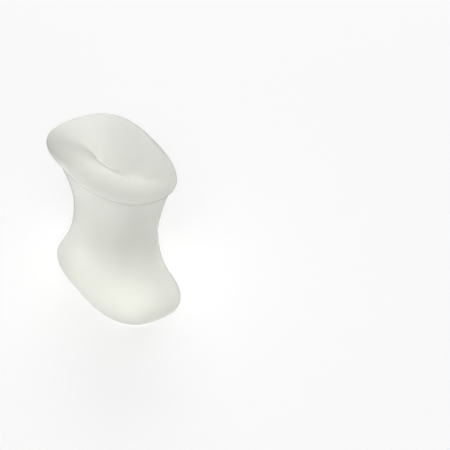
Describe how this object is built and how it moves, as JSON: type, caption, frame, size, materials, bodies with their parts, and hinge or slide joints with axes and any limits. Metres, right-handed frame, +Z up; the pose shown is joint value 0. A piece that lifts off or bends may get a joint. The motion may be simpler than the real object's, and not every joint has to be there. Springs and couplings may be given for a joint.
{
  "type": "toe separator",
  "caption": "Soft gel spool, oblong, flared and dished at both ends and waisted in the middle, that sits between two toes and holds them apart.",
  "frame": {"origin": "on the ground under the middle of its extents, as it stands on its foot", "axes": "+Z up through both ends, from the foot to the rolled mouth; +X along the oblong's long way; +Y across it"},
  "size_m": [0.033, 0.019, 0.0324],
  "materials": {
    "frosted_gel": "frosted translucent white gel"
  },
  "bodies": {
    "root": {"toe_separator": "frosted_gel"}
  },
  "joints": []
}
